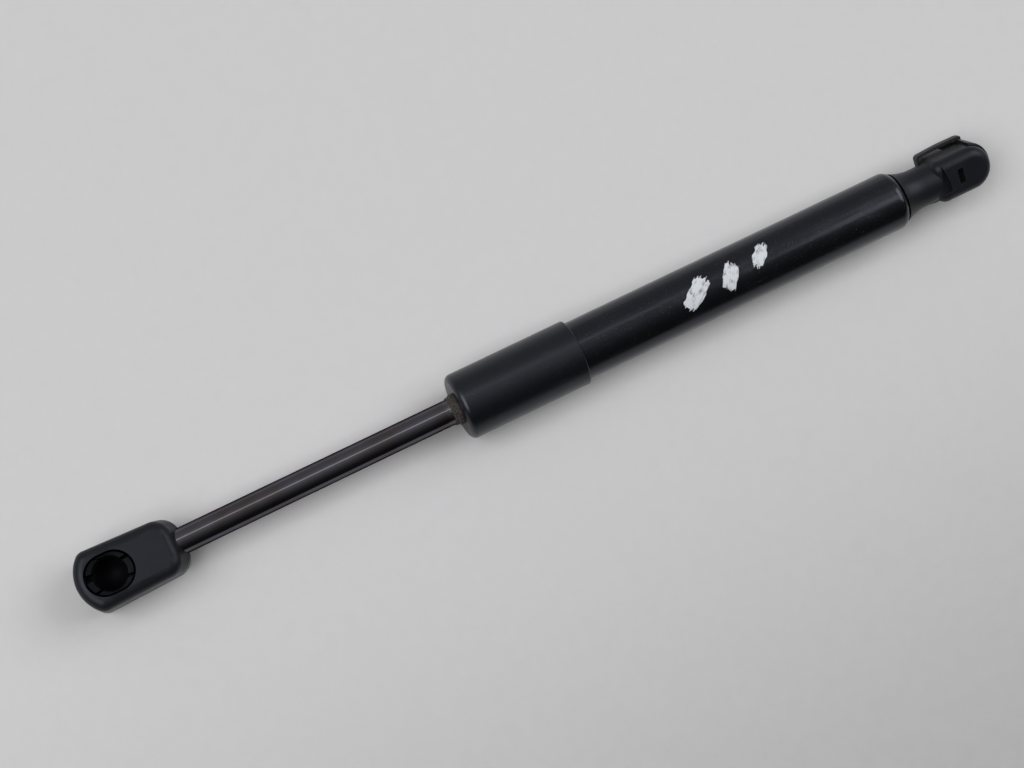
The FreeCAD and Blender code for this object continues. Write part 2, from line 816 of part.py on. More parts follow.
def make_piston():
    """Piston with a groove for its ring and notches that let the gas past it."""
    length = size("piston_length")
    groove = (length - ring_groove_width) / 2
    groove_end = groove + ring_groove_width
    hole = spigot_radius + size("seat_clearance")
    profile = [(0, hole), (0, piston_radius), (groove, piston_radius), (groove, ring_groove_radius)]
    profile += [(groove_end, ring_groove_radius), (groove_end, piston_radius)]
    profile += [(length, piston_radius), (length, hole)]
    piston = turned("piston", piston_x, profile)
    notch = size("gas_notch_width") / 2
    depth = size("gas_notch_depth")
    cut_box(piston, "gas_notch", (0, length), (-notch, notch), (piston_radius - depth, piston_radius + depth))
    pattern = piston.newObject("PartDesign::PolarPattern", "gas_notches")
    pattern.Originals = [piston.getObject("gas_notch")]
    pattern.Axis = (next(item for item in piston.Origin.OriginFeatures if item.Role == "X_Axis"), [""])
    pattern.Angle = 360
    pattern.Occurrences = GAS_NOTCHES
    piston.Tip = pattern
    doc.recompute()
    return piston


def make_piston_ring():
    """Split ring that slides on the tube wall and floats in the piston's groove."""
    width = size("ring_width")
    station = piston_x + (size("piston_length") - width) / 2
    ring = turned_ring("piston_ring", station, ring_inner, sliding_radius, width)
    split = size("ring_split") / 2
    cut_box(ring, "ring_split", (0, width), (-split, split), (0, bore_radius))
    return ring


def make_piston_washers():
    """Washers on both sides of the piston, and the disc that meters the gas."""
    hole = spigot_radius + size("seat_clearance")
    backing = turned_ring(
        "piston_washer", piston_washer_x, hole, piston_washer_radius, size("piston_washer_thickness")
    )
    disc = turned_ring(
        "orifice_disc", orifice_disc_x, hole, piston_washer_radius, size("orifice_disc_thickness")
    )
    before = disc.Shape.Volume
    primitive(
        disc, "SubtractiveCylinder", "orifice", z=(hole + piston_washer_radius) / 2, axis=(1, 0, 0),
        Radius=size("orifice_radius"), Height=size("orifice_disc_thickness"),
    )
    check_cut(disc, "orifice", before)
    rivet = turned_ring(
        "rivet_washer", rivet_washer_x, hole, spigot_radius + size("rivet_washer_rim"),
        size("rivet_washer_thickness"),
    )
    return [backing, disc, rivet]


def block_outline(setback):
    """Outline of the rod-end block from above, with its rod side set back: its corners, and its arcs."""
    tip_half = size("rod_socket_tip_width") / 2
    rod_half = size("rod_socket_rod_width") / 2
    tip_radius = size("rod_socket_tip_radius")
    corner = size("rod_socket_rod_corner")
    tip_centre = tip_radius - size("rod_socket_tip")
    tip_side = tip_centre - root(tip_radius * tip_radius - tip_half * tip_half)
    taper = (tip_half - rod_half) / (size("rod_socket_reach") - corner - tip_side)
    half = rod_half + taper * setback
    face = size("rod_socket_reach") - setback
    corners = [
        (tip_side, tip_half),
        (tip_side, -tip_half),
        (face - corner, -half),
        (face, corner - half),
        (face, half - corner),
        (face - corner, half),
    ]
    arcs = [
        (0, (tip_centre, 0), True),
        (2, (face - corner, corner - half), True),
        (4, (face - corner, half - corner), True),
    ]
    return corners, arcs


def make_rod_end_socket():
    """Moulded block on the rod, with a round tip, a sloping rod side and an oval pocket for the ball cup."""
    body = new_body("rod_end_socket")
    face = size("rod_socket_reach")
    top = size("rod_socket_top")
    bottom = -size("rod_socket_bottom")
    slope_level = size("rod_socket_slope_level")
    corners, arcs = block_outline(0)
    pad(body, "block_foot", corners, bottom, slope_level - bottom, arcs)
    ends = [("slope_start", slope_level, 0), ("slope_end", top, size("rod_socket_rod_slope"))]
    sections = []
    for name, lift, setback in ends:
        sketch = new_sketch(body, name, "XY_Plane", lift)
        draw_outline(sketch, *block_outline(setback))
        sections.append(sketch)
    loft = body.newObject("PartDesign::AdditiveLoft", "block_top")
    loft.Profile = sections[0]
    loft.Sections = [sections[1]]
    loft.Ruled = True
    doc.recompute()
    tip_side = corners[0][0]
    rounded(
        body, "tip_corners", size("rod_socket_tip_corner"),
        lambda e: stays_at(e, "x", tip_side) and e.BoundBox.ZLength > CLOSE,
    )
    rounded(body, "top_edges", size("rod_socket_edge"), lambda e: stays_at(e, "z", top))
    rounded(body, "foot_edges", size("rod_socket_foot_edge"), lambda e: stays_at(e, "z", bottom))
    before = body.Shape.Volume
    upright_oval(body, "Subtractive", "cup_pocket", cup_pocket_radius, cup_floor, top - cup_floor)
    seat = size("rod_seat_depth")
    primitive(
        body, "SubtractiveCylinder", "rod_seat", x=face - seat, axis=(1, 0, 0),
        Radius=rod_radius + size("seat_clearance"), Height=seat,
    )
    thread = size("rod_thread_length") + size("seat_clearance")
    primitive(
        body, "SubtractiveCylinder", "thread_hole", x=face - seat - thread, axis=(1, 0, 0),
        Radius=thread_radius + size("seat_clearance"), Height=thread,
    )
    check_cut(body, "rod_end_socket holes", before)
    place(body, x=rod_ball_x)
    return body


def make_rod_end_cup():
    """Ball cup in the rod-end socket: a seat for the ball and five claws around its throat."""
    body = new_body("rod_end_ball_cup")
    top = size("cup_top_level")
    seated = cup_pocket_radius - size("seat_clearance")
    shelf = size("cup_seat_level")
    upright_oval(body, "Additive", "cup_foot", seated, cup_floor, -shelf - cup_floor)
    upright_oval(body, "Additive", "claw_wall", claw_radius, -shelf, top + shelf)
    rounded(body, "claw_rim", size("claw_edge"), lambda e: stays_at(e, "z", top))
    primitive(body, "SubtractiveSphere", "ball_seat", Radius=ball_seat_radius)
    primitive(body, "SubtractiveCylinder", "throat", Radius=throat_radius, Height=top)
    primitive(
        body, "SubtractiveCone", "lead_in", z=throat_end, Radius1=throat_radius,
        Radius2=throat_radius + size("claw_lead_in_flare"), Height=top - throat_end,
    )
    for number in range(1, CLAW_GAPS + 1):
        cut_claw_gap(body, number, top)
    place(body, x=rod_ball_x)
    return body


def cut_claw_gap(body, number, top):
    """Cut the gap between two claws: a box that starts at the cup's axis and points at the gap's angle."""
    half = size(f"claw_gap_{number}_width") / 2
    angle = size(f"claw_gap_{number}_angle")
    before = body.Shape.Volume
    gap = primitive(
        body, "SubtractiveBox", f"claw_gap_{number}", z=-size("claw_root_level"), turn=angle,
        Length=cup_pocket_radius + size("cup_stretch"), Width=half * 2, Height=top + size("claw_root_level"),
    )
    radians = math.radians(angle.value)
    place(
        gap,
        x=Size(half.value * math.sin(radians), f"({half.text} * sin({angle.text} * 1deg))"),
        y=-Size(half.value * math.cos(radians), f"({half.text} * cos({angle.text} * 1deg))"),
        z=-size("claw_root_level"),
    )
    check_cut(body, f"claw gap {number}", before)


def check_and_write(pieces):
    """Stop at any failed object, then write each sub-part to its own file."""
    doc.recompute()
    for item in doc.Objects:
        if "Invalid" in item.State or "Error" in item.State:
            raise ValueError(f"{item.Name} failed: {item.State}")
    for piece in pieces:
        if piece.Shape.isNull() or not piece.Shape.isValid():
            raise ValueError(f"{piece.Label} has no valid shape")
    os.makedirs("parts", exist_ok=True)
    for piece in pieces:
        piece.Shape.exportStep(f"parts/{piece.Label}.step")
        print(f"{piece.Label}: {len(piece.Shape.Solids)} solid, {piece.Shape.Volume:.1f} mm3")


def main():
    pieces = [make_pressure_tube(), make_tube_stud(), make_rod_wiper(), make_dust_sleeve()]
    pieces += make_end_plug()
    pieces += make_rod_guide()
    pieces += make_rod_seal()
    pieces += [make_tube_end_socket(), make_tube_end_clip()]
    pieces += [make_piston_rod(), make_bumper(), make_piston(), make_piston_ring()]
    pieces += make_piston_washers()
    pieces += [make_rod_end_socket(), make_rod_end_cup()]
    check_and_write(pieces)


main()
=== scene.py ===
import json
import math

import bmesh
import bpy
from bpy.props import FloatProperty, FloatVectorProperty, PointerProperty
from mathutils import Euler, Matrix, Vector, noise


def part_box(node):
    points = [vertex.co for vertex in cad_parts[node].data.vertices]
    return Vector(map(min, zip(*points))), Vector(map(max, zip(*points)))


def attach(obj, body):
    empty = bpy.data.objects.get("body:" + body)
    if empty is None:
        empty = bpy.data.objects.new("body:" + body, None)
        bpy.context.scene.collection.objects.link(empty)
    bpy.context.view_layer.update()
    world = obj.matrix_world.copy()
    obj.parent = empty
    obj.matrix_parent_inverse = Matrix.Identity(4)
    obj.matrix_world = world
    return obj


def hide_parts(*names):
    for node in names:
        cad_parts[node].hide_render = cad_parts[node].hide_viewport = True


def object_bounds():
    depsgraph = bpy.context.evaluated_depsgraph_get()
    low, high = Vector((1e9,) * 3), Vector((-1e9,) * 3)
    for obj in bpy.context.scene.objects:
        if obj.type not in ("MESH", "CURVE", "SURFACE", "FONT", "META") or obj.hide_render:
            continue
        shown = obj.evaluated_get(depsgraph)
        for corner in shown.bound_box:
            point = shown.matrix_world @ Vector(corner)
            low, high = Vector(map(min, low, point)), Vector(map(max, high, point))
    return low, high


bl_info = {
    "name": "Hood Gas Strut",
    "version": (1, 0, 0),
    "blender": (4, 5, 0),
    "location": "3D View > Sidebar > Gas Strut",
    "description": "Dresses the hood gas strut's frame with its fine pieces and finishes, and sets its stage",
    "category": "Object",
}

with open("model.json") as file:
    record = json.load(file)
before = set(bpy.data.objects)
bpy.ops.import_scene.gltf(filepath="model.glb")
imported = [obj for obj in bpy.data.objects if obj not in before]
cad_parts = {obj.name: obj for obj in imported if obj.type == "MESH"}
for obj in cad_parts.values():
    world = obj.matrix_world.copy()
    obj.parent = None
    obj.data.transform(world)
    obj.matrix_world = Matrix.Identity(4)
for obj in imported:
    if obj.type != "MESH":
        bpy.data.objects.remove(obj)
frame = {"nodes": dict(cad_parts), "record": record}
cad_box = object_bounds()

# A millimetre, in metres
MM = 0.001

# Points closer than this are one point
WELD = 0.001 * MM

# Boxes and places of the solids, in metres, read from the frame
ROD_BALL_X = frame["record"]["mounts"][0]["pos_m"][0]
WIPER_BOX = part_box("rod_wiper")
CUP_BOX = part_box("rod_end_ball_cup")
TUBE_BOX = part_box("pressure_tube")
CLIP_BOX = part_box("tube_end_clip")

# The tube-end socket and its clip are rolled about the strut by this angle, in degrees
HEAD_ROLL = 28.0


# Settings that a user may change


def length(name, description, millimetres):
    return FloatProperty(name=name, description=description, default=millimetres * MM, min=0.0, unit="LENGTH")


def share(name, description, default):
    return FloatProperty(
        name=name, description=description, default=default, min=0.0, max=1.0, subtype="FACTOR"
    )


def colour(name, description, default):
    return FloatVectorProperty(
        name=name, description=description, default=default, min=0.0, max=1.0, size=3, subtype="COLOR"
    )


class StrutSizes(bpy.types.PropertyGroup):
    """Sizes of the pieces that are made here"""

    rod_hole: length("Rod Hole", "Radius of the wiper's hole for the rod", 4.05)
    wiper_body: length("Wiper Body", "Radius of the wiper's body", 4.8)
    wiper_lip: length("Wiper Lip", "Radius of the wiper's lip", 4.4)
    wiper_lip_length: length("Wiper Lip Length", "How far the lip stands out of the wiper's body", 1.1)
    wiper_flange: length("Wiper Flange", "Thickness of the flange behind the sleeve", 0.9)
    ball_seat: length("Ball Seat", "Radius of the seat that holds the ball", 5.05)
    throat: length("Throat", "Radius of the opening between the claws", 4.7)
    throat_end: length("Throat End", "Height above the ball's centre where the claws begin to open", 3.35)
    claw_mouth: length("Claw Mouth", "Inner radius of the claws at their tips", 5.15)
    claw_outside: length("Claw Outside", "Outer radius of the ring of claws", 5.75)
    claw_shelf: length("Claw Shelf", "Depth of the foot's shelf under the ball's centre", 1.0)
    cup_stretch: length("Cup Stretch", "How far the cup's two halves are drawn apart along the strut", 1.35)
    clip_thickness: length("Clip Thickness", "Thickness of the clip's strip, seen from the back", 1.1)
    clip_height: length("Clip Height", "Height of the clip's strip", 2.0)
    clip_level: length("Clip Level", "Depth of the strip's upper side under the ball's centre", 3.2)
    clip_crest: length("Clip Crest", "How far toward the neck the legs are widest apart", 3.0)
    clip_reach: length("Clip Reach", "Distance from the middle to the legs where they are widest apart", 7.7)
    clip_tip: length("Clip Tip", "How far the tips of the legs bend inwards", 0.4)
    clip_corner: length("Clip Corner", "Outer radius of the clip's two corners", 1.2)
    clip_leg: length("Clip Leg Bow", "Inner radius of the slight bow of the clip's legs", 110.0)
    mark_thickness: length("Mark Thickness", "Thickness of the brushed paint", 0.05)


class StrutFinishes(bpy.types.PropertyGroup):
    """Colours and wear of the finishes"""

    tube_paint: colour("Tube Paint", "Gloss paint of the pressure tube", (0.003, 0.0032, 0.0042))
    sleeve_plastic: colour("Sleeve Plastic", "Matt plastic of the dust sleeve", (0.0035, 0.0039, 0.005))
    socket_plastic: colour("Socket Plastic", "Satin plastic of both ball sockets", (0.0096, 0.0101, 0.0124))
    rod_steel: colour("Rod Steel", "Dark nitrided steel of the rod", (0.128, 0.124, 0.142))
    wiper_rubber: colour("Wiper Rubber", "Worn rubber of the wiper ring", (0.034, 0.029, 0.027))
    mark_paint: colour("Mark Paint", "White paint brushed on the tube", (0.62, 0.65, 0.69))
    sheen_tint: colour("Sheen Tint", "Cool cast of what black paint and plastic reflect", (0.8, 0.85, 1.0))
    paint_roughness: share("Paint Roughness", "Roughness of the tube's paint", 0.25)
    plastic_roughness: share("Plastic Roughness", "Roughness of the sleeve", 0.36)
    wear: share("Wear", "How strongly edges and faces are scuffed", 0.5)


class StrutStage(bpy.types.PropertyGroup):
    """The floor, the light and the camera"""

    floor_colour: colour("Floor Colour", "Pale table that the strut lies on", (0.58, 0.575, 0.585))
    sky: FloatProperty(name="Sky", description="Strength of the room's light", default=1.0, min=0.0)
    lamps: FloatProperty(name="Lamps", description="Strength of the soft lamps", default=1.0, min=0.0)
    lens: FloatProperty(
        name="Lens", description="Focal length of the camera, in millimetres", default=65.33, min=1.0
    )


def sizes():
    return bpy.context.scene.strut_sizes


def finishes():
    return bpy.context.scene.strut_finishes


# Tools for meshes


# Steps in the full turn of a ring or a round solid
ROUND_STEPS = 96

# An edge is rounded, in so many faces, where the surface turns by more than this angle, in degrees
ROUNDING_FACES = 3
ROUNDING_ANGLE = 35.0


def new_piece(name, bm, material, smooth=True):
    """Turn a bmesh into an object at the origin, with its faces pointing outwards."""
    bmesh.ops.recalc_face_normals(bm, faces=bm.faces)
    mesh = bpy.data.meshes.new(name)
    bm.to_mesh(mesh)
    bm.free()
    for polygon in mesh.polygons:
        polygon.use_smooth = smooth
    mesh.materials.append(material)
    piece = bpy.data.objects.new(name, mesh)
    bpy.context.scene.collection.objects.link(piece)
    return piece


def round_edges(piece, width):
    """Round a piece's sharp edges with a live bevel."""
    bevel = piece.modifiers.new("rounded_edges", "BEVEL")
    bevel.width = width
    bevel.segments = ROUNDING_FACES
    bevel.limit_method = "ANGLE"
    bevel.angle_limit = math.radians(ROUNDING_ANGLE)
    bevel.harden_normals = True


def turn(bm, verts, angle, axis):
    """Turn points about one of the frame's axes, by an angle in radians."""
    bmesh.ops.rotate(bm, verts=verts, cent=(0, 0, 0), matrix=Matrix.Rotation(angle, 3, axis))


def spin(bm, geometry, angle, steps, centre=(0, 0, 0), merge=False):
    """Sweep points and edges round an upright axis. With merge, the end of a full turn joins its start."""
    return bmesh.ops.spin(
        bm, geom=geometry, cent=centre, axis=(0, 0, 1), angle=angle, steps=steps, use_merge=merge
    )


def edges_at_end(swept):
    """The edges at which a spin ended."""
    return [item for item in swept["geom_last"] if isinstance(item, bmesh.types.BMEdge)]


def profile_loop(bm, points):
    """A closed loop of edges in the XZ plane, from distances out and up."""
    verts = [bm.verts.new((out, 0.0, up)) for out, up in points]
    edges = [bm.edges.new((verts[i], verts[(i + 1) % len(verts)])) for i in range(len(verts))]
    return verts, edges


def spin_ring(bm, points):
    """Spin a closed profile round the Z axis into a ring."""
    verts, edges = profile_loop(bm, points)
    spin(bm, verts + edges, math.tau, ROUND_STEPS, merge=True)


def spin_solid(bm, points):
    """Spin a path that starts and ends on the Z axis into a closed solid."""
    verts = [bm.verts.new((out, 0.0, up)) for out, up in points]
    edges = [bm.edges.new(pair) for pair in zip(verts, verts[1:])]
    spin(bm, verts + edges, math.tau, ROUND_STEPS, merge=True)
    bmesh.ops.remove_doubles(bm, verts=bm.verts, dist=WELD)


def spin_sector(bm, points, start, end, steps):
    """Spin a closed profile about the Z axis between two angles in degrees, and close its two ends."""
    verts, edges = profile_loop(bm, points)
    turn(bm, verts, math.radians(start), "Z")
    swept = spin(bm, verts + edges, math.radians(end - start), steps)
    last = edges_at_end(swept)
    bmesh.ops.edgeloop_fill(bm, edges=edges)
    bmesh.ops.edgeloop_fill(bm, edges=last)


def arc(radius, start, end, steps):
    """Points on an arc about the origin, from one angle to another, in degrees from the level."""
    angles = [math.radians(start + (end - start) * step / steps) for step in range(steps + 1)]
    return [(radius * math.cos(angle), radius * math.sin(angle)) for angle in angles]


# Tools for materials


class Finish:
    """A Principled material and short ways to add the nodes that feed it."""

    def __init__(self, name, base, roughness, metallic=0.0, specular=0.5, tint=(1.0, 1.0, 1.0)):
        self.material = bpy.data.materials.new(name)
        self.material.use_nodes = True
        self.tree = self.material.node_tree
        self.shader = self.tree.nodes["Principled BSDF"]
        self.shader.inputs["Base Color"].default_value = (*base, 1.0)
        self.shader.inputs["Roughness"].default_value = roughness
        self.shader.inputs["Metallic"].default_value = metallic
        self.shader.inputs["Specular IOR Level"].default_value = specular
        self.shader.inputs["Specular Tint"].default_value = (*tint, 1.0)
        self.material.diffuse_color = (*base, 1.0)
        self.base = tuple(base)
        self.normal = None

    def node(self, kind, **inputs):
        node = self.tree.nodes.new(kind)
        for name, value in inputs.items():
            self.feed(node, name.replace("_", " "), value)
        return node

    def feed(self, node, name, value):
        """Set an input to a number or a colour, or link it to an output."""
        socket = node.inputs[name]
        if isinstance(value, bpy.types.NodeSocket):
            self.tree.links.new(value, socket)
        else:
            socket.default_value = value

    def place(self, stretch=(1.0, 1.0, 1.0)):
        """The point in the object's own metres, stretched along its axes."""
        coordinates = self.node("ShaderNodeTexCoord")
        mapping = self.node("ShaderNodeMapping", Vector=coordinates.outputs["Object"], Scale=stretch)
        return mapping.outputs["Vector"]

    def noise(self, size, detail=3.0, stretch=(1.0, 1.0, 1.0), roughness=0.5):
        """Noise whose grains are about as large as size, in metres."""
        texture = self.node(
            "ShaderNodeTexNoise",
            Vector=self.place(stretch), Scale=1.0 / size, Detail=detail, Roughness=roughness,
        )
        return texture.outputs["Fac"]

    def grade(self, value, low, high, to_low=0.0, to_high=1.0):
        """Spread what lies between low and high over another range."""
        node = self.node("ShaderNodeMapRange", Value=value)
        for name, number in (("From Min", low), ("From Max", high), ("To Min", to_low), ("To Max", to_high)):
            node.inputs[name].default_value = number
        return node.outputs["Result"]

    def maths(self, operation, first, second):
        node = self.tree.nodes.new("ShaderNodeMath")
        node.operation = operation
        self.feed(node, 0, first)
        self.feed(node, 1, second)
        return node.outputs["Value"]

    def add(self, first, second):
        return self.maths("ADD", first, second)

    def times(self, first, second):
        return self.maths("MULTIPLY", first, second)

    def larger(self, first, second):
        return self.maths("MAXIMUM", first, second)

    def mix(self, share_of_second, first, second):
        """Mix two colours. Each is an output or three numbers."""
        node = self.tree.nodes.new("ShaderNodeMix")
        node.data_type = "RGBA"
        sockets = [socket for socket in node.inputs if socket.type == "RGBA"]
        for socket, value in zip(sockets, (first, second)):
            if isinstance(value, bpy.types.NodeSocket):
                self.tree.links.new(value, socket)
            else:
                socket.default_value = (*value, 1.0)
        self.feed(node, 0, share_of_second)
        return next(socket for socket in node.outputs if socket.type == "RGBA")

    def colour(self, value):
        self.feed(self.shader, "Base Color", value)

    def roughness(self, value):
        self.feed(self.shader, "Roughness", value)

    def bump(self, height, depth):
        """Add bumps of a depth in metres on top of those so far."""
        node = self.node("ShaderNodeBump", Height=height, Distance=depth)
        if self.normal is not None:
            self.tree.links.new(self.normal, node.inputs["Normal"])
        self.normal = node.outputs["Normal"]
        self.tree.links.new(self.normal, self.shader.inputs["Normal"])

    def edges(self, radius):
        """How sharply the surface turns within a radius: 0 on flat faces and near 1 on sharp edges."""
        rounded = self.tree.nodes.new("ShaderNodeBevel")
        rounded.inputs["Radius"].default_value = radius
        flat = self.tree.nodes.new("ShaderNodeNewGeometry")
        dot = self.tree.nodes.new("ShaderNodeVectorMath")
        dot.operation = "DOT_PRODUCT"
        self.tree.links.new(rounded.outputs["Normal"], dot.inputs[0])
        self.tree.links.new(flat.outputs["Normal"], dot.inputs[1])
        return self.grade(dot.outputs["Value"], 1.0, 0.8)

    def axis(self, name):
        """How far along one of its own axes the point lies, in metres."""
        coordinates = self.node("ShaderNodeTexCoord")
        parts = self.node("ShaderNodeSeparateXYZ", Vector=coordinates.outputs["Object"])
        return parts.outputs[name]


def lighter(base, factor):
    """A colour times a factor, which is under 1 for a darker one, kept within white."""
    return tuple(min(1.0, value * factor) for value in base)


# Finishes


def gloss_paint():
    """Black stoved paint: a faint orange peel, fine dust, and rubbed streaks along the tube."""
    look = finishes()
    finish = Finish("gloss_paint", look.tube_paint, look.paint_roughness, tint=look.sheen_tint)
    peel = finish.noise(0.0016, detail=2.0)
    rubbed = finish.grade(finish.noise(0.0012, 4.0, stretch=(0.08, 1.0, 1.0)), 0.5, 0.75)
    patches = finish.noise(0.014, 3.0)
    specks = finish.grade(finish.noise(0.00045, 1.0), 0.7, 0.76)
    haze = finish.times(rubbed, finish.grade(patches, 0.4, 0.65))
    worn = finish.times(haze, look.wear)
    dusty = finish.mix(worn, finish.base, lighter(finish.base, 2.2))
    finish.colour(finish.mix(finish.times(specks, 0.35), dusty, (0.09, 0.09, 0.09)))
    finish.roughness(finish.add(finish.grade(patches, 0.3, 0.7, 0.16, 0.24), finish.times(worn, 0.2)))
    finish.bump(peel, 0.000012)
    finish.bump(specks, 0.00001)
    return finish.material


def sleeve_plastic():
    """Fine-grained matt black plastic with scuffs and slightly paler edges."""
    look = finishes()
    finish = Finish("sleeve_plastic", look.sleeve_plastic, look.plastic_roughness, tint=look.sheen_tint)
    grain = finish.noise(0.00028, 2.0)
    scuffs = finish.grade(finish.noise(0.0009, 5.0, stretch=(0.12, 1.0, 1.0)), 0.56, 0.74)
    rubs = finish.grade(finish.noise(0.0007, 4.0, stretch=(1.0, 0.2, 0.2)), 0.6, 0.78)
    patches = finish.grade(finish.noise(0.011, 3.0), 0.42, 0.68)
    worn = finish.times(finish.larger(scuffs, rubs), patches)
    edge = finish.edges(0.0004)
    pale = finish.larger(finish.times(worn, look.wear), finish.times(edge, 0.45))
    finish.colour(finish.mix(pale, finish.base, lighter(finish.base, 4.0)))
    finish.roughness(finish.add(finish.grade(grain, 0.3, 0.7, 0.27, 0.35), finish.times(pale, 0.15)))
    finish.bump(grain, 0.00002)
    return finish.material


def socket_plastic():
    """Satin glass-filled plastic: flow marks, fine pits and rubbed edges."""
    look = finishes()
    finish = Finish("socket_plastic", look.socket_plastic, 0.38, specular=0.22, tint=look.sheen_tint)
    flow = finish.noise(0.0045, 4.0, stretch=(0.5, 1.0, 1.0))
    pits = finish.noise(0.00035, 3.0)
    edge = finish.edges(0.0005)
    scratches = finish.grade(finish.noise(0.0006, 5.0, stretch=(0.15, 1.0, 0.6)), 0.6, 0.78)
    rubbed = finish.times(finish.grade(flow, 0.45, 0.7), scratches)
    worn = finish.larger(finish.times(edge, 0.5), finish.times(rubbed, look.wear))
    finish.colour(finish.mix(worn, finish.base, lighter(finish.base, 2.4)))
    finish.roughness(finish.add(finish.grade(flow, 0.3, 0.7, 0.33, 0.43), finish.times(worn, 0.15)))
    finish.bump(flow, 0.00006)
    finish.bump(pits, 0.000012)
    return finish.material


def cup_plastic():
    """Tough matt plastic of the ball cup, with rubbed lips."""
    finish = Finish("cup_plastic", (0.003, 0.003, 0.004), 0.58, specular=0.1, tint=finishes().sheen_tint)
    grain = finish.noise(0.0005, 3.0)
    edge = finish.edges(0.0003)
    finish.colour(finish.mix(finish.times(edge, 0.2), finish.base, (0.03, 0.03, 0.034)))
    finish.roughness(finish.grade(grain, 0.3, 0.7, 0.5, 0.66))
    finish.bump(grain, 0.000015)
    return finish.material


# The dust on the rod: how far from the wiper it starts, and where it is thickest
DUST_START = 2.2 * MM
DUST_THICKEST = 0.3 * MM


def polished_rod():
    """Nitrided and polished steel: fine lines round the rod, and dust that gathers at the wiper."""
    finish = Finish("polished_rod", finishes().rod_steel, 0.1, metallic=1.0, tint=(0.14, 0.12, 0.13))
    lines = finish.noise(0.00012, 2.0, stretch=(1.0, 0.04, 0.04))
    tarnish = finish.noise(0.009, 4.0)
    wiper = WIPER_BOX[0].x
    near_wiper = finish.grade(finish.axis("X"), wiper - DUST_START, wiper - DUST_THICKEST)
    dust = finish.times(near_wiper, finish.grade(finish.noise(0.0005, 4.0), 0.42, 0.6))
    brown = finish.mix(finish.grade(tarnish, 0.4, 0.65), finish.base, (0.112, 0.1, 0.104))
    finish.colour(finish.mix(finish.times(dust, 0.5), brown, (0.24, 0.23, 0.21)))
    finish.roughness(finish.add(finish.grade(lines, 0.3, 0.7, 0.05, 0.09), finish.times(dust, 0.3)))
    finish.bump(lines, 0.0000015)
    return finish.material


def wiper_rubber():
    """Worn grey-brown rubber, granular with trapped dust."""
    finish = Finish("wiper_rubber", finishes().wiper_rubber, 0.85)
    grain = finish.noise(0.00022, 4.0, roughness=0.65)
    crumbs = finish.noise(0.0007, 2.0)
    dusty = finish.mix(finish.grade(grain, 0.42, 0.62), finish.base, lighter(finish.base, 2.6))
    finish.colour(finish.mix(finish.grade(crumbs, 0.5, 0.62), dusty, lighter(finish.base, 0.5)))
    finish.roughness(finish.grade(grain, 0.3, 0.7, 0.75, 0.95))
    finish.bump(grain, 0.00012)
    return finish.material


def clip_steel():
    """Blackened spring steel, bright where its edges rub."""
    finish = Finish("clip_steel", (0.03, 0.03, 0.032), 0.42, metallic=0.6)
    edge = finish.edges(0.0003)
    cloud = finish.noise(0.0012, 4.0)
    finish.colour(finish.mix(finish.times(edge, 0.35), finish.base, (0.2, 0.2, 0.2)))
    finish.roughness(finish.grade(cloud, 0.3, 0.7, 0.36, 0.52))
    finish.bump(cloud, 0.00001)
    return finish.material


def brushed_paint():
    """White paint dragged by a brush: streaks along the stroke, and thin blue-grey patches."""
    finish = Finish("brushed_paint", finishes().mark_paint, 0.45)
    stroke = finish.node("ShaderNodeUVMap").outputs["UV"]
    drawn_out = finish.node("ShaderNodeMapping", Vector=stroke, Scale=(1.6, 22.0, 1.0)).outputs["Vector"]
    streaks = finish.node("ShaderNodeTexNoise", Vector=drawn_out, Scale=1.0, Detail=4.0).outputs["Fac"]
    thick = finish.grade(finish.times(streaks, finish.noise(0.0018, 2.0)), 0.12, 0.24)
    finish.colour(finish.mix(thick, lighter(finish.base, 0.3), finish.base))
    finish.roughness(finish.grade(streaks, 0.3, 0.7, 0.38, 0.55))
    finish.bump(streaks, 0.00006)
    return finish.material


def turned_steel():
    """Bare turned steel with fine tool lines."""
    finish = Finish("turned_steel", (0.5, 0.49, 0.48), 0.32, metallic=1.0)
    lines = finish.noise(0.00015, 2.0, stretch=(1.0, 0.05, 0.05))
    finish.roughness(finish.grade(lines, 0.3, 0.7, 0.26, 0.4))
    finish.bump(lines, 0.000004)
    return finish.material


def seal_rubber():
    """Smooth black rubber with a film of oil."""
    finish = Finish("seal_rubber", (0.012, 0.012, 0.012), 0.45)
    film = finish.noise(0.002, 3.0)
    finish.roughness(finish.grade(film, 0.3, 0.7, 0.32, 0.55))
    finish.bump(finish.noise(0.0003, 2.0), 0.000008)
    return finish.material


def guide_polymer():
    """Natural moulded plastic of the rod guide."""
    finish = Finish("guide_polymer", (0.55, 0.53, 0.46), 0.5)
    flow = finish.noise(0.003, 4.0)
    finish.colour(finish.mix(flow, (0.5, 0.48, 0.41), (0.6, 0.58, 0.5)))
    finish.bump(flow, 0.00003)
    return finish.material


def bush_bronze():
    """Porous bearing bronze."""
    finish = Finish("bush_bronze", (0.55, 0.38, 0.2), 0.38, metallic=1.0)
    pores = finish.grade(finish.noise(0.0002, 2.0), 0.55, 0.62)
    finish.colour(finish.mix(pores, finish.base, (0.12, 0.08, 0.05)))
    finish.bump(pores, 0.00001)
    return finish.material


def sintered_iron():
    """Grey sintered iron with open pores."""
    finish = Finish("sintered_iron", (0.3, 0.3, 0.3), 0.5, metallic=1.0)
    pores = finish.grade(finish.noise(0.00025, 3.0), 0.55, 0.65)
    finish.colour(finish.mix(pores, finish.base, (0.08, 0.08, 0.08)))
    finish.bump(pores, 0.000015)
    return finish.material


